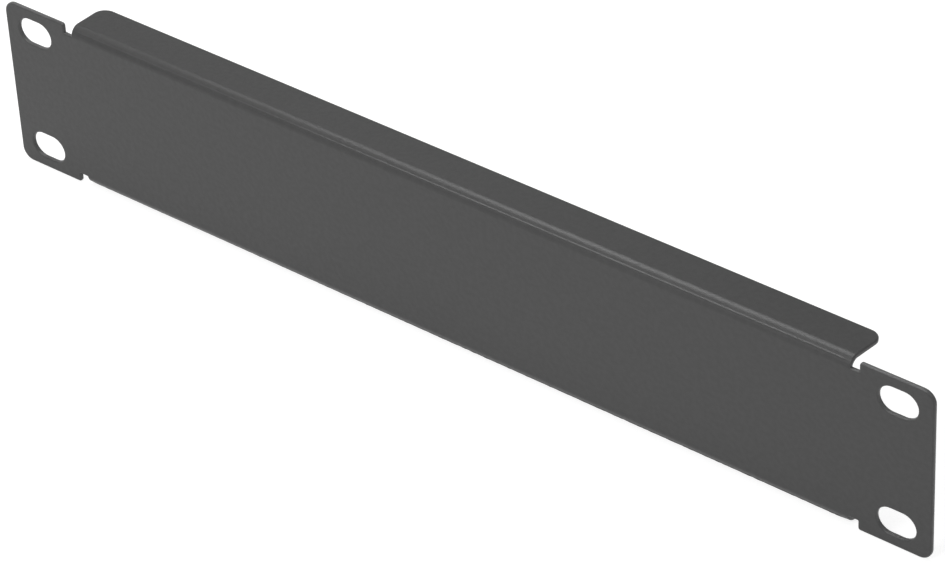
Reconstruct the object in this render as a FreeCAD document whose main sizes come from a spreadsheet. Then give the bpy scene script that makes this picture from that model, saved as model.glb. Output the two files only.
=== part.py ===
import FreeCAD, Part

import math
import os

from FreeCAD import Vector
from Sketcher import Constraint

# Flanged blanking panel for a 10-inch rack, one unit high.
# It is one sheet of steel: a flat face with two slotted ears, and a flange folded back along the top and
# along the bottom between the ears. X runs along the panel, +Z is up, and the front of the panel looks to -Y.
# The origin is the middle of the four slots, on the rear face of the ears, where they meet the rack's rails.

NODE = "blanking_panel"

# Driving dimensions, in millimetres
SIZES = [
    ("panel_width", 254.0, "overall width across the ears"),
    ("panel_height", 44.0, "height of the ears"),
    ("sheet_thickness", 1.0, "steel sheet with its powder coat"),
    ("ear_width", 18.2, "each ear, from its end to the notches"),
    ("flange_reach", 10.9, "from the rear face of the ears to the flanges' rear edge"),
    ("flange_setback", 0.2, "from the ears' edge to the outermost line of a fold"),
    ("flange_angle", 85.0, "between the flat face and a flange, in degrees"),
    ("bend_inner_radius", 1.5, "inside of both folds"),
    ("flange_corner_radius", 1.8, "rear corners of the flanges"),
    ("relief_width", 2.2, "notch between a fold and an ear"),
    ("relief_corner_radius", 0.15, "inside corners of a notch, clear of the fold"),
    ("ear_corner_radius", 3.0, "outer corners of the ears"),
    ("ear_inner_radius", 0.7, "corners of the ears beside the notches"),
    ("slot_from_end", 8.75, "from an end of the panel to the middle of a slot, 236.5 between slots"),
    ("slot_from_edge", 6.125, "from an ear's edge to the middle of a slot, 31.75 between slots"),
    ("slot_length", 9.7, "end to end, along X"),
    ("slot_width", 6.7, "between the long sides"),
    ("edge_radius", 0.3, "cut edges on the outside, rolled over by the punch"),
    ("edge_chamfer", 0.15, "cut edges on the inside, deburred"),
]

# Sizes that follow from them
HALF_HEIGHT = "(Sizes.panel_height / 2)"
EAR_END = "(Sizes.panel_width / 2)"
EAR_START = "(Sizes.panel_width / 2 - Sizes.ear_width)"
FLANGE_END = "(Sizes.panel_width / 2 - Sizes.ear_width - Sizes.relief_width)"
BEND_OUTER_RADIUS = "(Sizes.bend_inner_radius + Sizes.sheet_thickness)"
FOLD_START = f"(Sizes.panel_height / 2 - Sizes.flange_setback - {BEND_OUTER_RADIUS})"
FLANGE_LEAN = "(90 - Sizes.flange_angle)"

# Two faces whose normals differ by more than this meet in a sharp edge
SHARP_ANGLE = math.radians(30)

doc = FreeCAD.newDocument("rack_blanking_panel")
sheet = doc.addObject("Spreadsheet::Sheet", "Sizes")


def fill_sheet():
    """Write the driving dimensions into the sheet, one row each."""
    for row, (alias, value, meaning) in enumerate(SIZES, start=1):
        sheet.set(f"A{row}", meaning)
        sheet.set(f"B{row}", str(value))
        sheet.setAlias(f"B{row}", alias)
    doc.recompute()


def value(expression):
    """What an expression comes to with the sheet's present sizes."""
    return float(sheet.evalExpression(expression))


def new_sketch(body, name, role):
    """Put an empty sketch on one of the body's origin planes."""
    plane = next(feature for feature in body.Origin.OriginFeatures if feature.Role == role)
    sketch = body.newObject("Sketcher::SketchObject", name)
    sketch.AttachmentSupport = [(plane, "")]
    sketch.MapMode = "FlatFace"
    doc.recompute()
    return sketch


def bind(sketch, constraint, name, expression):
    """Add a size to a sketch, under its own name, and tie it to the sheet."""
    sketch.addConstraint(constraint)
    sketch.renameConstraint(sketch.ConstraintCount - 1, name)
    sketch.setExpression("Constraints." + name, expression)


def draw_profile(sketch, corners, slopes=None):
    """Draw a closed outline of straight lines, with round or sharp corners.

    Each corner is (across, up, radius), three expressions. A corner whose radius is None stays sharp, and any
    other is an arc that runs into both of its lines. Line i starts from corner i and is level or upright, unless
    slopes gives its angle in degrees, and then one of its ends is a sharp corner.
    """
    slopes = slopes or {}
    points = [Vector(value(across), value(up), 0) for across, up, _ in corners]
    count = len(corners)
    directions = [(points[(i + 1) % count] - points[i]).normalize() for i in range(count)]
    turns = [directions[i - 1].getAngle(directions[i]) for i in range(count)]
    radii = [0 if radius is None else value(radius) for _, _, radius in corners]
    cut_back = [radii[i] * math.tan(turns[i] / 2) for i in range(count)]

    # The lines, each from one corner to the next
    for i in range(count):
        after = (i + 1) % count
        start = points[i] + directions[i] * cut_back[i]
        end = points[after] - directions[i] * cut_back[after]
        level = abs(directions[i].y) < abs(directions[i].x)
        sketch.addGeometry(Part.LineSegment(start, end))
        corner, place, at = (i, 1, start) if corners[i][2] is None else (after, 2, end)
        if i in slopes:
            angle = math.atan2(directions[i].y, directions[i].x)
            bind(sketch, Constraint("Angle", i, angle), f"line_{i}_angle", slopes[i])
        else:
            sketch.addConstraint(Constraint("Horizontal" if level else "Vertical", i))
        if level:
            bind(sketch, Constraint("DistanceY", -1, 1, i, place, at.y), f"line_{i}_up", corners[corner][1])
        else:
            bind(sketch, Constraint("DistanceX", -1, 1, i, place, at.x), f"line_{i}_across", corners[corner][0])

    # The corners, each between the line before it and its own line
    for i, (_, _, radius) in enumerate(corners):
        before = (i - 1) % count
        if radius is None:
            sketch.addConstraint(Constraint("Coincident", before, 2, i, 1))
            continue
        start = points[i] - directions[before] * cut_back[i]
        end = points[i] + directions[i] * cut_back[i]
        inward = (directions[i] - directions[before]).normalize()
        middle = points[i] + inward * radii[i] * (1 / math.cos(turns[i] / 2) - 1)
        arc = sketch.addGeometry(Part.Arc(start, middle, end))
        turns_left = directions[before].cross(directions[i]).z > 0
        first, last = (1, 2) if turns_left else (2, 1)
        sketch.addConstraint(Constraint("Tangent", before, 2, arc, first))
        sketch.addConstraint(Constraint("Tangent", arc, last, i, 1))
        bind(sketch, Constraint("Radius", arc, radii[i]), f"corner_{i}_radius", radius)


def mirror(body, feature, name, role):
    """Repeat a feature on the other side of one of the body's origin planes."""
    doc.recompute()
    mirrored = body.newObject("PartDesign::Mirrored", name)
    mirrored.Originals = [feature]
    plane = next(item for item in body.Origin.OriginFeatures if item.Role == role)
    mirrored.MirrorPlane = (plane, [""])
    body.Tip = mirrored
    doc.recompute()


def mirror_left_and_down(body, feature, name):
    """Repeat a feature of the upper right corner in the other three corners."""
    doc.recompute()
    pattern = body.newObject("PartDesign::MultiTransform", name)
    pattern.Originals = [feature]
    mirrors = []
    for role, part in (("YZ_Plane", "Left"), ("XY_Plane", "Down")):
        plane = next(item for item in body.Origin.OriginFeatures if item.Role == role)
        mirror = doc.addObject("PartDesign::Mirrored", name + part)
        mirror.MirrorPlane = (plane, [""])
        body.addObject(mirror)
        mirrors.append(mirror)
    pattern.Transformations = mirrors
    body.Tip = pattern
    doc.recompute()


def pocket_through(body, sketch, name):
    """Cut a sketch's outline through everything, in front of the sketch and behind it."""
    volume = body.Shape.Volume
    pocket = body.newObject("PartDesign::Pocket", name)
    pocket.Profile = sketch
    pocket.Type = "ThroughAll"
    pocket.SideType = "Symmetric"
    doc.recompute()
    if pocket.Shape.Volume >= volume:
        raise RuntimeError(f"{name} cuts nothing")
    return pocket


def fold_channel(body):
    """The flat face with its two folds and flanges, from one ear to the other."""
    sketch = new_sketch(body, "FoldedSection", "YZ_Plane")
    front = "-Sizes.sheet_thickness"
    rear = "Sizes.flange_reach"
    rear_inside = f"({rear} - Sizes.sheet_thickness * sin({FLANGE_LEAN}))"
    fold_growth = f"(1 + sin({FLANGE_LEAN})) / cos({FLANGE_LEAN})"

    def flange_height(across, radius):
        """Where a flange's outer or inner face is, from the fold's own centre and radius."""
        behind_centre = f"({across} - Sizes.bend_inner_radius)"
        return f"{FOLD_START} + ({radius} - {behind_centre} * sin({FLANGE_LEAN})) / cos({FLANGE_LEAN})"

    draw_profile(sketch, [
        (rear, flange_height(rear, BEND_OUTER_RADIUS), None),
        (front, f"{FOLD_START} + {BEND_OUTER_RADIUS} * {fold_growth}", BEND_OUTER_RADIUS),
        (front, "0", None),
        ("0", "0", None),
        ("0", f"{FOLD_START} + Sizes.bend_inner_radius * {fold_growth}", "Sizes.bend_inner_radius"),
        (rear_inside, flange_height(rear_inside, "Sizes.bend_inner_radius"), None),
    ], {0: f"180 - {FLANGE_LEAN}", 4: f"-{FLANGE_LEAN}", 5: f"90 - {FLANGE_LEAN}"})
    pad = body.newObject("PartDesign::Pad", "UpperChannel")
    pad.Profile = sketch
    pad.SideType = "Symmetric"
    pad.setExpression("Length", f"2 * {EAR_START}")
    mirror(body, pad, "LowerChannel", "XY_Plane")


def add_ears(body):
    """The flat ear on the right, and its mirror image on the left."""
    sketch = new_sketch(body, "EarOutline", "XZ_Plane")
    draw_profile(sketch, [
        (EAR_START, HALF_HEIGHT, "Sizes.ear_inner_radius"),
        (EAR_START, f"-{HALF_HEIGHT}", "Sizes.ear_inner_radius"),
        (EAR_END, f"-{HALF_HEIGHT}", "Sizes.ear_corner_radius"),
        (EAR_END, HALF_HEIGHT, "Sizes.ear_corner_radius"),
    ])
    pad = body.newObject("PartDesign::Pad", "RightEar")
    pad.Profile = sketch
    pad.setExpression("Length", "Sizes.sheet_thickness")
    mirror(body, pad, "LeftEar", "YZ_Plane")


def cut_reliefs(body):
    """The four notches that part the folds from the ears. Each ends just past the start of its fold."""
    sketch = new_sketch(body, "ReliefOutline", "XZ_Plane")
    bottom = f"{FOLD_START} - Sizes.relief_corner_radius"
    draw_profile(sketch, [
        (FLANGE_END, HALF_HEIGHT, None),
        (FLANGE_END, bottom, "Sizes.relief_corner_radius"),
        (EAR_START, bottom, "Sizes.relief_corner_radius"),
        (EAR_START, HALF_HEIGHT, None),
    ])
    mirror_left_and_down(body, pocket_through(body, sketch, "Relief"), "Reliefs")


def cut_slots(body):
    """The four round-ended slots for the rack's screws."""
    sketch = new_sketch(body, "SlotOutline", "XZ_Plane")
    middle = f"{EAR_END} - Sizes.slot_from_end"
    height = f"{HALF_HEIGHT} - Sizes.slot_from_edge"
    centre = Vector(value(middle), value(height), 0)
    radius = sheet.slot_width / 2
    reach = sheet.slot_length / 2 - radius
    up = Vector(0, radius, 0)
    inner_end = centre - Vector(reach, 0, 0)
    outer_end = centre + Vector(reach, 0, 0)
    axis = Vector(0, 0, 1)
    sketch.addGeometry(Part.LineSegment(inner_end + up, outer_end + up))
    sketch.addGeometry(Part.LineSegment(outer_end - up, inner_end - up))
    sketch.addGeometry(Part.ArcOfCircle(Part.Circle(outer_end, axis, radius), -math.pi / 2, math.pi / 2))
    sketch.addGeometry(Part.ArcOfCircle(Part.Circle(inner_end, axis, radius), math.pi / 2, 3 * math.pi / 2))
    top, bottom, outer_arc, inner_arc = range(4)
    sketch.addConstraint(Constraint("Horizontal", top))
    sketch.addConstraint(Constraint("Tangent", top, 2, outer_arc, 2))
    sketch.addConstraint(Constraint("Tangent", bottom, 1, outer_arc, 1))
    sketch.addConstraint(Constraint("Tangent", bottom, 2, inner_arc, 2))
    sketch.addConstraint(Constraint("Tangent", top, 1, inner_arc, 1))
    bind(sketch, Constraint("Radius", outer_arc, radius), "end_radius", "Sizes.slot_width / 2")
    half_straight = "(Sizes.slot_length - Sizes.slot_width) / 2"
    to_outer = Constraint("DistanceX", -1, 1, outer_arc, 3, outer_end.x)
    bind(sketch, to_outer, "outer_end", f"{middle} + {half_straight}")
    to_inner = Constraint("DistanceX", -1, 1, inner_arc, 3, inner_end.x)
    bind(sketch, to_inner, "inner_end", f"{middle} - {half_straight}")
    bind(sketch, Constraint("DistanceY", -1, 1, outer_arc, 3, centre.y), "height", height)
    mirror_left_and_down(body, pocket_through(body, sketch, "Slot"), "Slots")


def edges_where(shape, wanted):
    """The names of a shape's edges that pass a test."""
    return [f"Edge{i}" for i, edge in enumerate(shape.Edges, start=1) if wanted(edge)]


def dress(body, kind, name, edges, size, expression):
    """Round or break some edges of the body as it is now."""
    if not edges:
        raise RuntimeError(f"{name} has no edge to work on")
    base = body.Tip
    feature = body.newObject(kind, name)
    feature.Base = (base, edges)
    feature.setExpression(size, expression)
    doc.recompute()


def round_flange_corners(body):
    """The four rear corners of the flanges, where an upright edge stands at the rear."""

    def at_corner(edge):
        upright = edge.tangentAt(edge.FirstParameter).isParallel(Vector(0, 0, 1), SHARP_ANGLE)
        return upright and edge.BoundBox.YMin > sheet.flange_reach - sheet.sheet_thickness

    corners = edges_where(body.Shape, at_corner)
    dress(body, "PartDesign::Fillet", "FlangeCorners", corners, "Radius", "Sizes.flange_corner_radius")


def sharp_edge_test(shape):
    """A test for the edges where two faces of a shape meet at an angle: all are the sheet's cut edges."""
    faces_of_edge = {}
    for face in shape.Faces:
        for edge in face.Edges:
            faces_of_edge.setdefault(edge.hashCode(), []).append(face)

    def normal_at(face, point):
        u, v = face.Surface.parameter(point)
        return face.normalAt(u, v)

    def is_sharp(edge):
        faces = faces_of_edge[edge.hashCode()]
        if len(faces) != 2:
            return False
        middle = edge.valueAt((edge.FirstParameter + edge.LastParameter) / 2)
        return normal_at(faces[0], middle).getAngle(normal_at(faces[1], middle)) > SHARP_ANGLE

    return is_sharp


def is_outside(edge):
    """Whether an edge lies nearer to the panel's outside than to the hollow between the flanges."""
    half_sheet = sheet.sheet_thickness / 2
    lean = math.radians(value(FLANGE_LEAN))
    point = edge.valueAt((edge.FirstParameter + edge.LastParameter) / 2)
    past_centre_y = point.y - sheet.bend_inner_radius
    past_centre_z = abs(point.z) - value(FOLD_START)
    if abs(point.x) > value(FLANGE_END) + half_sheet or past_centre_z < 0:
        return point.y < -half_sheet
    from_centre = math.hypot(past_centre_y, past_centre_z)
    if past_centre_y * math.cos(lean) > past_centre_z * math.sin(lean):
        from_centre = past_centre_y * math.sin(lean) + past_centre_z * math.cos(lean)
    return from_centre > sheet.bend_inner_radius + half_sheet


def soften_edges(body):
    """Round the cut edges on the outside, then break those on the inside, the only sharp ones left."""
    is_sharp = sharp_edge_test(body.Shape)
    outside = edges_where(body.Shape, lambda edge: is_sharp(edge) and is_outside(edge))
    dress(body, "PartDesign::Fillet", "OutsideEdges", outside, "Radius", "Sizes.edge_radius")
    inside = edges_where(body.Shape, sharp_edge_test(body.Shape))
    dress(body, "PartDesign::Chamfer", "InsideEdges", inside, "Size", "Sizes.edge_chamfer")


def build_panel():
    """The whole panel, in the order in which a press would make it."""
    body = doc.addObject("PartDesign::Body", "Panel")
    body.Label = NODE
    fold_channel(body)
    add_ears(body)
    cut_reliefs(body)
    cut_slots(body)
    round_flange_corners(body)
    soften_edges(body)
    body.Placement = FreeCAD.Placement()
    return body


def check_document():
    """Stop if any feature failed, because a failed feature leaves the shape before it in place."""
    for item in doc.Objects:
        if "Invalid" in item.State or "Error" in item.State:
            raise RuntimeError(f"{item.Name} failed: {item.State}")


def write_step(body):
    """Check the finished solid and write it."""
    shape = body.Shape
    if shape.isNull() or not shape.isValid() or len(shape.Solids) != 1:
        raise RuntimeError(f"{body.Label} is not one sound solid")
    os.makedirs("parts", exist_ok=True)
    shape.exportStep(f"parts/{body.Label}.step")
    box = shape.optimalBoundingBox()
    print(f"{body.Label}: {box.XLength:.2f} x {box.YLength:.2f} x {box.ZLength:.2f} mm,",
          f"{shape.Volume:.1f} mm3, {len(shape.Faces)} faces")


fill_sheet()
panel = build_panel()
doc.recompute()
check_document()
write_step(panel)
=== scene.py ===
"""Looks of the rack blanking panel, in powder-coated sheet steel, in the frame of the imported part."""

import math

import bpy
from mathutils import Matrix, Vector, geometry, noise


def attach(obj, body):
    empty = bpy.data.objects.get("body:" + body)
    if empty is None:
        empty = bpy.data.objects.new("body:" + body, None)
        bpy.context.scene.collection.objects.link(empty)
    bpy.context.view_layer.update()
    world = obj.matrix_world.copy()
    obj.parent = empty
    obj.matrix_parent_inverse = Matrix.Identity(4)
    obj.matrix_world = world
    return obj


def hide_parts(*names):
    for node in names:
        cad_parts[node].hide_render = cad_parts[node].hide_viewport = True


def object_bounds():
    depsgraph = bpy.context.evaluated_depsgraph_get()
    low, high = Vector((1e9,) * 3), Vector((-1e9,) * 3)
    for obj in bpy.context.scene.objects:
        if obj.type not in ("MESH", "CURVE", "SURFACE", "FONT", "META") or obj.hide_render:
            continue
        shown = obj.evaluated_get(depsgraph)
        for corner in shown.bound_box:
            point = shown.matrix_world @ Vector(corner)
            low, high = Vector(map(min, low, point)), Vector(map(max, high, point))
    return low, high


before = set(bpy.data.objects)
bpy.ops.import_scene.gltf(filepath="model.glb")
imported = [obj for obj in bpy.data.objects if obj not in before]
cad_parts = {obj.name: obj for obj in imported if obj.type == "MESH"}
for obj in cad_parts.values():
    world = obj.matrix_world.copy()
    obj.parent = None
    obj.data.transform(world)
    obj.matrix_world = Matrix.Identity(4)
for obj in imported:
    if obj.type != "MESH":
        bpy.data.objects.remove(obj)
cad_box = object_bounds()

MM = 0.001
WHITE = (1.0, 1.0, 1.0, 1.0)

# Camera, as the photograph was taken: angles in degrees, lengths in millimetres, clipping in metres
CAMERA_AZIMUTH = 40.059
CAMERA_ELEVATION = 36.941
CAMERA_ROLL = -3.205
CAMERA_DISTANCE = 956.771
CAMERA_TARGET = (7.480, 0.0, -1.775)
FOCAL_LENGTH = 168.150
SENSOR_WIDTH = 36.0
CLIP_START = 0.05
CLIP_END = 20

# Soft lamps as (name, place in metres, width in metres, power in watts), all aimed at the panel
LAMPS = [
    ("overhead", (0.00, 0.00, 1.20), 0.80, 1.2),
    ("overhead_near", (-0.16, 0.10, 0.44), 0.28, 1.05),
    ("front", (-0.12, -0.82, 0.88), 0.60, 5.2),
    ("front_low", (-0.20, -1.10, 0.45), 0.70, 2.2),
    ("left", (-0.81, -0.23, 0.87), 0.60, 0.5),
]

# The sky's strength as soft light, in reflections or through glass, and where the camera sees it
SKY_STRENGTH = 0.2
SKY_GLOSS_STRENGTH = 0.5
SKY_SEEN_STRENGTH = 1.0

# Floor: half its width in metres, its colour as it throws light back, and its colour and glow where seen
FLOOR_HALF_WIDTH = 4.0
FLOOR_COLOR = (0.8, 0.8, 0.8, 1.0)
FLOOR_SEEN_COLOR = (0.35, 0.35, 0.35, 1.0)
FLOOR_SEEN_GLOW = 0.82

# The sheet's sizes in millimetres, as in the CAD part. A fold's centre is a place in Y and Z, and its radius
# is that of the outside.
HALF_WIDTH = 127.0
HALF_HEIGHT = 22.0
THICKNESS = 1.0
EAR_START = 108.8
EAR_CORNER = 3.0
EAR_INNER_CORNER = 0.7
NOTCH_CORNER = 0.15
FLANGE_END = 106.6
FLANGE_REACH = 10.9
FOLD_CENTRE = (1.5, 19.3)
FOLD_RADIUS = 2.5
FOLD_TURN = math.radians(95)
SLOT_CENTRE = (118.25, 15.875)
SLOT_LENGTH = 9.7
SLOT_WIDTH = 6.7

# Finer forms of the sheet in millimetres, beyond the CAD part
NOTCH_BOTTOM = 19.6
FLANGE_FLARE = 0.6
FLANGE_CORNER = 3.1
FRONT_ROUND = 0.42
REAR_ROUND = 0.2

# How far back the outside of a fold ends on the panel. Then, on the flat blank and from its middle line,
# where a fold starts and ends and where its flange ends.
FOLD_REACH = FOLD_CENTRE[0] - FOLD_RADIUS * math.cos(FOLD_TURN)
FOLD_START = FOLD_CENTRE[1]
FOLD_END = FOLD_START + FOLD_RADIUS * FOLD_TURN
FLANGE_REAR = FOLD_END + (FLANGE_REACH - FOLD_REACH) / math.sin(FOLD_TURN)

# What lies further out along the panel than this stays flat
NOTCH_MIDDLE = (EAR_START + FLANGE_END) / 2

# Press mark, a fine raised line along the outside of each fold, in millimetres: its middle on the flat blank,
# its size, the room that it leaves at a flange's end, and the length over which it then rises
MARK_MIDDLE = FOLD_START + math.radians(40) * FOLD_RADIUS
MARK_HALF_WIDTH = 0.34
MARK_HEIGHT = 0.15
MARK_END_GAP = 0.75
MARK_FADE = 1.5

# The share of its height that the mark loses to the left, and over what length from the panel's middle
MARK_LEFT_LOSS = 0.5
MARK_LEFT_REACH = 70.0

# The mark's unevenness: a long and a short noise, each by its changes per millimetre and its share of the
# height, and how far to either side of zero the upper and the lower mark take theirs
MARK_LONG_RATE = 0.8
MARK_LONG_SHARE = 0.5
MARK_SHORT_RATE = 2.3
MARK_SHORT_SHARE = 0.3
MARK_SIDE_SHIFT = 7.0

# How far to either side of a place the mark is measured for its slope there, in millimetres
SLOPE_STEP = 0.01

# The mesh's parts: rows round a fold, rows on each side of the mark's middle, and parts of each arc
FOLD_ROWS = 14
MARK_ROWS = 5
LARGE_CORNER_PARTS = 12
SMALL_CORNER_PARTS = 6
SLOT_END_PARTS = 16
FRONT_ROUND_PARTS = 6
REAR_ROUND_PARTS = 4

# The mesh's lengths in millimetres: the radius over which a corner is a large one, the steps of the rim where
# it runs along the panel and across it, the steps between columns, and what the columns and rows keep clear
LARGE_CORNER = 1.0
STEP_ALONG = 4.0
STEP_ACROSS = 0.2
FRONT_COLUMN_STEP = 0.8
REAR_COLUMN_STEP = 5.0
COLUMN_END_GAP = 0.8
MARK_ROW_GAP = 0.05

# The triangulation: places nearer than this are one, triangles smaller than this have no area, in millimetres
# and square millimetres, and it fills the whole hull of its places
SAME_PLACE = 1e-5
NO_AREA = 0.001
WHOLE_HULL = 0

# The name of the mesh's measure of how far a place is on a cut edge, from 0 on a face to 1
CUT_EDGE = "cut_edge"

# Powder coat: its tone with the share by which it changes, and its roughness with the amount
COAT_COLOR = 0.045
COAT_COLOR_CHANGE = 0.05
COAT_ROUGHNESS = 0.40
COAT_ROUGHNESS_CHANGE = 0.05
COAT_IOR = 1.5
COAT_SPECULAR = 0.4

# Lighter cut edges, partly worn coat and partly a painted highlight: their tone, how narrow the lightening
# is, and the least of it that every place has
EDGE_WEAR_AND_HIGHLIGHT_COLOR = 0.12
EDGE_SHARPNESS = 2.0
LEAST_EDGE_LIGHTENING = 0.5

# The coat's textures, each as its size in millimetres and its detail. Then what peel and grain bring to the
# relief, the height in millimetres of one unit of it, and what they bring to the tone.
PEEL = (1.2, 0.0)
GRAIN = (0.4, 1.0)
# Patches over the lighter cut edges, which are partly wear and partly a painted highlight
EDGE_LIGHTENING_PATCHES = (7.0, 1.0)
PEEL_HEIGHT = 2.5
GRAIN_HEIGHT = 0.4
RELIEF_UNIT = 0.012
PEEL_TONE = 0.8
GRAIN_TONE = 0.2

# The part of a noise's range that is stretched to a whole change, for tone, for the cut edges' lightening
# (partly wear, partly painted highlight) and for roughness
TONE_RANGE = (0.35, 0.65)
ROUGHNESS_RANGE = (0.3, 0.7)


class Nodes:
    """Short calls to build a node tree."""

    def __init__(self, tree):
        self.tree = tree
        tree.nodes.clear()

    def add(self, kind, inputs=None, **settings):
        """Add a node. An input is a value, or another node's output."""
        node = self.tree.nodes.new(kind)
        for name, setting in settings.items():
            setattr(node, name, setting)
        for name, source in (inputs or {}).items():
            if isinstance(source, bpy.types.NodeSocket):
                self.tree.links.new(source, node.inputs[name])
            else:
                node.inputs[name].default_value = source
        return node

    def math(self, operation, first, second):
        """The result of one operation on two values."""
        return self.add("ShaderNodeMath", {0: first, 1: second}, operation=operation).outputs[0]

    def stretch(self, value, before, after):
        """A value carried from one range, as (low, high), to another."""
        inputs = {
            "Value": value,
            "From Min": before[0],
            "From Max": before[1],
            "To Min": after[0],
            "To Max": after[1],
        }
        return self.add("ShaderNodeMapRange", inputs).outputs[0]

    def is_ray(self, *kinds):
        """1 for a ray of any of these kinds, and 0 for the rest."""
        path = self.add("ShaderNodeLightPath").outputs
        result = path[kinds[0]]
        for kind in kinds[1:]:
            result = self.math("MAXIMUM", result, path[kind])
        return result


def place_camera():
    """The photograph's view."""
    azimuth = math.radians(CAMERA_AZIMUTH)
    elevation = math.radians(CAMERA_ELEVATION)
    back = Vector((
        math.sin(azimuth) * math.cos(elevation),
        -math.cos(azimuth) * math.cos(elevation),
        math.sin(elevation),
    ))
    right = Vector((math.cos(azimuth), math.sin(azimuth), 0))
    up = back.cross(right)
    turn = Matrix((right, up, back)).transposed() @ Matrix.Rotation(math.radians(CAMERA_ROLL), 3, "Z")
    place = (Vector(CAMERA_TARGET) + back * CAMERA_DISTANCE) * MM
    lens = bpy.data.cameras.new("camera")
    lens.sensor_fit = "HORIZONTAL"
    lens.sensor_width = SENSOR_WIDTH
    lens.lens = FOCAL_LENGTH
    lens.clip_start = CLIP_START
    lens.clip_end = CLIP_END
    camera = bpy.data.objects.new("camera", lens)
    camera.matrix_world = Matrix.Translation(place) @ turn.to_4x4()
    bpy.context.scene.collection.objects.link(camera)
    bpy.context.scene.camera = camera


def place_lamps():
    """Soft round lamps."""
    for name, place, width, power in LAMPS:
        lamp = bpy.data.lights.new(name, "AREA")
        lamp.shape = "DISK"
        lamp.size = width
        lamp.energy = power
        holder = bpy.data.objects.new(name, lamp)
        holder.location = place
        holder.rotation_euler = Vector(place).to_track_quat("Z", "Y").to_euler()
        holder.visible_camera = False
        bpy.context.scene.collection.objects.link(holder)


def place_sky():
    """An even pale sky, white where it is seen."""
    world = bpy.data.worlds.new("sky")
    world.use_nodes = True
    nodes = Nodes(world.node_tree)
    mirrored = nodes.is_ray("Is Glossy Ray", "Is Transmission Ray")
    seen = nodes.is_ray("Is Camera Ray")
    gloss_part = nodes.math("MULTIPLY", mirrored, SKY_GLOSS_STRENGTH - SKY_STRENGTH)
    seen_part = nodes.math("MULTIPLY", seen, SKY_SEEN_STRENGTH - SKY_STRENGTH)
    strength = nodes.math("ADD", nodes.math("ADD", gloss_part, seen_part), SKY_STRENGTH)
    sky = nodes.add("ShaderNodeBackground", {"Color": WHITE, "Strength": strength})
    nodes.add("ShaderNodeOutputWorld", {"Surface": sky.outputs[0]})
    bpy.context.scene.world = world


def place_floor():
    """A plain pale floor under the panel, with its shadow."""
    material = bpy.data.materials.new("floor")
    material.use_nodes = True
    nodes = Nodes(material.node_tree)
    plain = nodes.add("ShaderNodeBsdfDiffuse", {"Color": FLOOR_COLOR})
    shaded = nodes.add("ShaderNodeBsdfDiffuse", {"Color": FLOOR_SEEN_COLOR})
    glow = nodes.add("ShaderNodeEmission", {"Color": WHITE, "Strength": FLOOR_SEEN_GLOW})
    shown = nodes.add("ShaderNodeAddShader", {0: shaded.outputs[0], 1: glow.outputs[0]})
    seen = nodes.is_ray("Is Camera Ray", "Is Glossy Ray", "Is Transmission Ray")
    both = nodes.add("ShaderNodeMixShader", {0: seen, 1: plain.outputs[0], 2: shown.outputs[0]})
    nodes.add("ShaderNodeOutputMaterial", {"Surface": both.outputs[0]})
    half = FLOOR_HALF_WIDTH
    low = cad_box[0][2]
    corners = [(-half, -half, low), (half, -half, low), (half, half, low), (-half, half, low)]
    mesh = bpy.data.meshes.new("floor")
    mesh.from_pydata(corners, [], [(0, 1, 2, 3)])
    mesh.materials.append(material)
    floor = bpy.data.objects.new("floor", mesh)
    bpy.context.scene.collection.objects.link(floor)


def press_mark(x, along):
    """How far the mark stands out of the sheet, at a place on the flat blank."""
    off = (abs(along) - MARK_MIDDLE) / MARK_HALF_WIDTH
    room = (FLANGE_END - abs(x) - MARK_END_GAP) / MARK_FADE
    if abs(off) >= 1 or room <= 0:
        return 0.0
    side = math.copysign(MARK_SIDE_SHIFT, along)
    long_wave = noise.noise(Vector((x * MARK_LONG_RATE, side, 0)))
    short_wave = noise.noise(Vector((x * MARK_SHORT_RATE, 0, side)))
    uneven = 1 + MARK_LONG_SHARE * long_wave + MARK_SHORT_SHARE * short_wave
    share = 1 - MARK_LEFT_LOSS * max(0.0, min(1.0, -x / MARK_LEFT_REACH))
    return MARK_HEIGHT * share * uneven * min(1.0, room) * (0.5 + 0.5 * math.cos(math.pi * off))


def fold(x, along, depth, normal):
    """A place and normal on the flat blank, taken to the folded panel.

    x and along lie on the blank, and depth goes in from its front face. The normal has a part along x, one
    along the blank and one out of its front.
    """
    past = abs(along) - FOLD_START
    if past <= 0 or abs(x) > NOTCH_MIDDLE:
        return Vector((x, depth - THICKNESS, along)), Vector((normal[0], -normal[2], normal[1]))
    side = math.copysign(1, along)
    turn = min(past / FOLD_RADIUS, FOLD_TURN)
    straight = max(0.0, past - FOLD_RADIUS * FOLD_TURN)
    if depth == 0:
        depth = -press_mark(x, along)
        rise = press_mark(x, along + SLOPE_STEP) - press_mark(x, along - SLOPE_STEP)
        normal = (normal[0], normal[1] - rise / (2 * SLOPE_STEP), normal[2])
    radius = FOLD_RADIUS - depth
    y = FOLD_CENTRE[0] - radius * math.cos(turn) + straight * math.sin(turn)
    z = FOLD_CENTRE[1] + radius * math.sin(turn) + straight * math.cos(turn)
    ahead = normal[1] * side
    out = Vector((
        normal[0],
        ahead * math.sin(turn) - normal[2] * math.cos(turn),
        side * (ahead * math.cos(turn) + normal[2] * math.sin(turn)),
    ))
    return Vector((x, y, side * z)), out


def steps(first, last, size):
    """Fractions that divide a run into equal parts of about a size."""
    count = max(1, round((last - first).length / size))
    return [i / count for i in range(1, count)]


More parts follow.
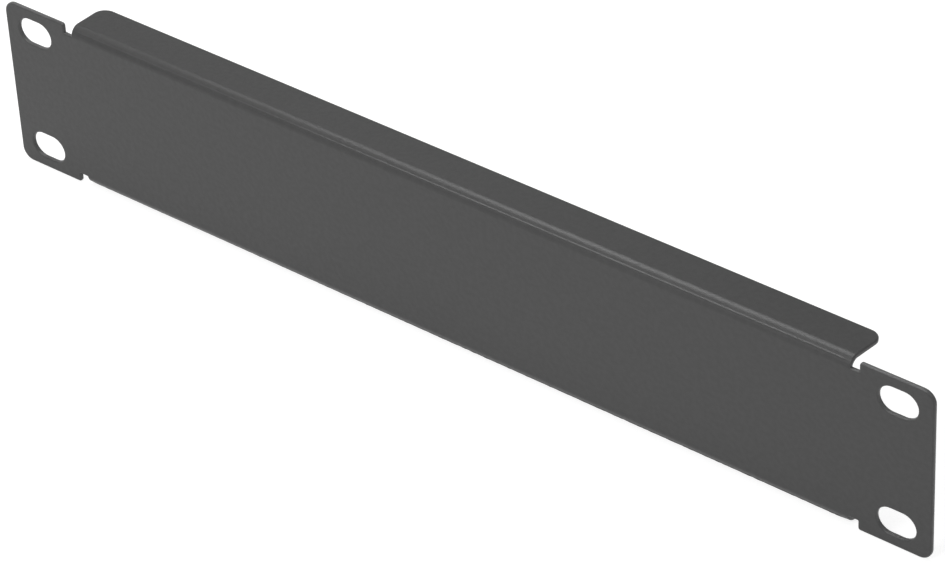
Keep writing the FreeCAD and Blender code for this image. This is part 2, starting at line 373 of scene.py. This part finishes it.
def blank_outline(inset):
    """The blank's edge, moved in by inset, as places with their outward directions."""
    quarter = [
        (HALF_WIDTH, HALF_HEIGHT, EAR_CORNER),
        (EAR_START, HALF_HEIGHT, EAR_INNER_CORNER),
        (EAR_START, NOTCH_BOTTOM, NOTCH_CORNER),
        (FLANGE_END, NOTCH_BOTTOM, NOTCH_CORNER),
        (FLANGE_END + FLANGE_FLARE, FLANGE_REAR, FLANGE_CORNER),
    ]
    corners = quarter + [(-x, z, radius) for x, z, radius in reversed(quarter)]
    corners += [(-x, -z, radius) for x, z, radius in quarter]
    corners += [(x, -z, radius) for x, z, radius in reversed(quarter)]
    points = [Vector(corner[:2]) for corner in corners]
    arcs = []
    for i, point in enumerate(points):
        before = (point - points[i - 1]).normalized()
        after = (points[(i + 1) % len(points)] - point).normalized()
        first = Vector((before.y, -before.x))
        turn = math.atan2(before.cross(after), before.dot(after))
        radius = math.copysign(corners[i][2], turn)
        centre = point - before * radius * math.tan(turn / 2) - first * radius
        count = LARGE_CORNER_PARTS if abs(radius) > LARGE_CORNER else SMALL_CORNER_PARTS
        outs = [Matrix.Rotation(turn * k / count, 2) @ first for k in range(count + 1)]
        arcs.append([(centre + out * (radius - inset), out) for out in outs])
    ring = []
    for arc, following in zip(arcs, arcs[1:] + arcs[:1]):
        start, out = arc[-1]
        end = following[0][0]
        size = STEP_ALONG if abs(end.y - start.y) < abs(end.x - start.x) else STEP_ACROSS
        ring += arc
        ring += [(start.lerp(end, t), out) for t in steps(start, end, size)]
    return ring


def slot_outline(centre, inset):
    """A slot's edge, moved into the sheet by inset, as places with the directions into the slot."""
    radius = SLOT_WIDTH / 2
    reach = SLOT_LENGTH / 2 - radius
    ring = []
    for side in (1, -1):
        for k in range(SLOT_END_PARTS + 1):
            angle = math.pi * (k / SLOT_END_PARTS - 0.5 * side)
            out = Vector((math.cos(angle), math.sin(angle)))
            ring.append((centre + Vector((side * reach, 0)) + out * (radius + inset), -out))
    return ring


def sheet_rings(inset):
    """The blank's edge and then its slots' edges, all moved into the sheet by inset."""
    rings = [blank_outline(inset)]
    for side in (1, -1):
        for level in (1, -1):
            rings.append(slot_outline(Vector((side * SLOT_CENTRE[0], level * SLOT_CENTRE[1])), inset))
    return rings


def edge_profile():
    """The rounded cut edge from front to rear: inset, depth, and the normal's outward and forward parts."""
    profile = []
    for k in range(FRONT_ROUND_PARTS + 1):
        angle = math.pi / 2 * k / FRONT_ROUND_PARTS
        outward = math.sin(angle)
        forward = math.cos(angle)
        profile.append((FRONT_ROUND * (1 - outward), FRONT_ROUND * (1 - forward), outward, forward))
    for k in range(REAR_ROUND_PARTS + 1):
        angle = math.pi / 2 * (1 - k / REAR_ROUND_PARTS)
        outward = math.sin(angle)
        forward = -math.cos(angle)
        depth = THICKNESS - REAR_ROUND * (1 + forward)
        profile.append((REAR_ROUND * (1 - outward), depth, outward, forward))
    return profile


def inner_places(front):
    """Places where the sheet bends, in rows along each fold, with closer rows over the press mark.

    All rows share one set of columns, or triangles would reach across the fold.
    """
    rows = [FOLD_START + FOLD_RADIUS * FOLD_TURN * k / FOLD_ROWS for k in range(FOLD_ROWS + 1)]
    if front:
        rows = [row for row in rows if abs(row - MARK_MIDDLE) > MARK_HALF_WIDTH + MARK_ROW_GAP]
        rows += [MARK_MIDDLE + MARK_HALF_WIDTH * k / MARK_ROWS for k in range(-MARK_ROWS, MARK_ROWS + 1)]
    reach = FLANGE_END - COLUMN_END_GAP
    count = round(2 * reach / (FRONT_COLUMN_STEP if front else REAR_COLUMN_STEP))
    columns = [reach * (2 * k / count - 1) for k in range(count + 1)]
    return [Vector((x, side * row)) for row in rows for x in columns for side in (1, -1)]


def is_inside(point, ring):
    """Whether a place on the blank lies inside a ring of places."""
    inside = False
    for (a, _), (b, _) in zip(ring, ring[1:] + ring[:1]):
        if (a.y > point.y) != (b.y > point.y):
            if point.x < a.x + (point.y - a.y) * (b.x - a.x) / (b.y - a.y):
                inside = not inside
    return inside


def is_sheet(spots, rings):
    """Whether a triangle has an area, and its middle lies on the sheet and in no slot."""
    if geometry.area_tri(*spots) < NO_AREA:
        return False
    middle = sum(spots, Vector((0, 0))) / 3
    return is_inside(middle, rings[0]) and not any(is_inside(middle, ring) for ring in rings[1:])


def sheet_triangles(rings, inner):
    """Triangles between the rings and over the inner places, by the places' numbers, counterclockwise.

    A triangle that has a side on a ring is known by the way in which it runs along it, and one that only has
    corners on the rings by its middle.
    """
    points = [point for ring in rings for point, _ in ring]
    rim_count = len(points)
    edges = []
    rim = set()
    base = 0
    for k, ring in enumerate(rings):
        around = [(base + i, base + (i + 1) % len(ring)) for i in range(len(ring))]
        edges += around
        rim.update(around if k == 0 else [edge[::-1] for edge in around])
        base += len(ring)
    points += inner
    found = geometry.delaunay_2d_cdt(points, edges, [], WHOLE_HULL, SAME_PLACE, True)
    sources = found[3]
    kept = []
    for triangle in found[2]:
        corners = [sources[i][0] for i in triangle]
        sides = list(zip(corners, corners[1:] + corners[:1]))
        if any(side[::-1] in rim for side in sides):
            continue
        has_rim_side = any(side in rim for side in sides)
        only_corners = max(corners) < rim_count and not has_rim_side
        if only_corners and not is_sheet([points[i] for i in corners], rings):
            continue
        kept.append(corners)
    return kept


class SheetMesh:
    """The panel as one closed mesh, in the making: it takes places on the flat blank and folds them."""

    def __init__(self):
        self.vertices = []
        self.normals = []
        self.edge_shares = []
        self.faces = []

    def place(self, point, depth, normal):
        """Fold one place, and return its number."""
        spot, out = fold(point.x, point.y, depth, normal)
        self.vertices.append(spot * MM)
        self.normals.append(out.normalized())
        self.edge_shares.append(math.hypot(normal[0], normal[1]))
        return len(self.vertices) - 1

    def add_cut_edges(self):
        """Round all cut edges, and return the numbers of their places next to the front and to the rear."""
        loops = []
        for inset, depth, outward, forward in edge_profile():
            numbers = []
            for ring in sheet_rings(inset):
                turned = [(point, (out.x * outward, out.y * outward, forward)) for point, out in ring]
                numbers.append([self.place(point, depth, normal) for point, normal in turned])
            loops.append(numbers)
        for first, second in zip(loops, loops[1:]):
            for k, (upper, lower) in enumerate(zip(first, second)):
                for i in range(len(upper)):
                    j = (i + 1) % len(upper)
                    quad = (upper[i], lower[i], lower[j], upper[j])
                    self.faces.append(quad if k == 0 else quad[::-1])
        return loops[0], loops[-1]

    def add_face(self, front, inset, loop):
        """Fill the front or the rear face, from the cut edges' places in."""
        side = 1 if front else -1
        depth = 0 if front else THICKNESS
        inner = inner_places(front)
        numbers = [number for ring in loop for number in ring]
        numbers += [self.place(point, depth, (0, 0, side)) for point in inner]
        for triangle in sheet_triangles(sheet_rings(inset), inner):
            corners = [numbers[i] for i in triangle]
            self.faces.append(corners if front else corners[::-1])

    def finish(self, name):
        """The mesh, with its normals and its measure of the cut edges."""
        mesh = bpy.data.meshes.new(name)
        mesh.from_pydata(self.vertices, [], self.faces)
        mesh.validate()
        mesh.shade_smooth()
        mesh.normals_split_custom_set_from_vertices(self.normals)
        mesh.attributes.new(CUT_EDGE, "FLOAT", "POINT").data.foreach_set("value", self.edge_shares)
        return mesh


def dressed_panel(coat):
    """The panel that stands for the CAD node."""
    sheet = SheetMesh()
    front_loop, rear_loop = sheet.add_cut_edges()
    sheet.add_face(True, FRONT_ROUND, front_loop)
    sheet.add_face(False, REAR_ROUND, rear_loop)
    mesh = sheet.finish("panel_sheet")
    mesh.materials.append(coat)
    panel = bpy.data.objects.new("panel_sheet", mesh)
    bpy.context.scene.collection.objects.link(panel)
    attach(panel, "root")
    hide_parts("blanking_panel")


def powder_coat():
    """Dark satin powder coat, with a fine grain over a soft orange peel, lighter on the cut edges, partly
    from wear and partly as a painted highlight.
    """
    material = bpy.data.materials.new("powder_coat_look")
    material.use_nodes = True
    nodes = Nodes(material.node_tree)
    place = nodes.add("ShaderNodeTexCoord").outputs["Object"]

    def texture(size, detail):
        inputs = {"Vector": place, "Scale": 1 / (size * MM), "Detail": detail}
        return nodes.add("ShaderNodeTexNoise", inputs).outputs["Fac"]

    peel = texture(*PEEL)
    grain = texture(*GRAIN)

    def blend(peel_share, grain_share):
        peel_part = nodes.math("MULTIPLY", peel, peel_share)
        grain_part = nodes.math("MULTIPLY", grain, grain_share)
        return nodes.math("ADD", peel_part, grain_part)

    relief = nodes.add("ShaderNodeBump", {
        "Strength": 1.0,
        "Distance": RELIEF_UNIT * MM,
        "Height": blend(PEEL_HEIGHT, GRAIN_HEIGHT),
    })
    tones = (COAT_COLOR * (1 - COAT_COLOR_CHANGE), COAT_COLOR * (1 + COAT_COLOR_CHANGE))
    tone = nodes.stretch(blend(PEEL_TONE, GRAIN_TONE), TONE_RANGE, tones)
    # The cut edges are painted lighter: partly worn coat, partly a painted highlight
    edge_patches = nodes.stretch(texture(*EDGE_LIGHTENING_PATCHES), TONE_RANGE, (LEAST_EDGE_LIGHTENING, 1.0))
    edge = nodes.add("ShaderNodeAttribute", attribute_name=CUT_EDGE).outputs["Fac"]
    lightened_edge = nodes.math("MULTIPLY", nodes.math("POWER", edge, EDGE_SHARPNESS), edge_patches)
    color = nodes.math("ADD", tone, nodes.math("MULTIPLY", lightened_edge, EDGE_WEAR_AND_HIGHLIGHT_COLOR - COAT_COLOR))
    roughnesses = (COAT_ROUGHNESS - COAT_ROUGHNESS_CHANGE, COAT_ROUGHNESS + COAT_ROUGHNESS_CHANGE)
    roughness = nodes.stretch(grain, ROUGHNESS_RANGE, roughnesses)
    shader = nodes.add("ShaderNodeBsdfPrincipled", {
        "Base Color": color,
        "Roughness": roughness,
        "Normal": relief.outputs[0],
        "Metallic": 0.0,
        "IOR": COAT_IOR,
        "Specular IOR Level": COAT_SPECULAR,
    })
    nodes.add("ShaderNodeOutputMaterial", {"Surface": shader.outputs[0]})
    return material


place_camera()
place_lamps()
place_sky()
place_floor()
dressed_panel(powder_coat())
bpy.context.scene.view_settings.view_transform = "Standard"
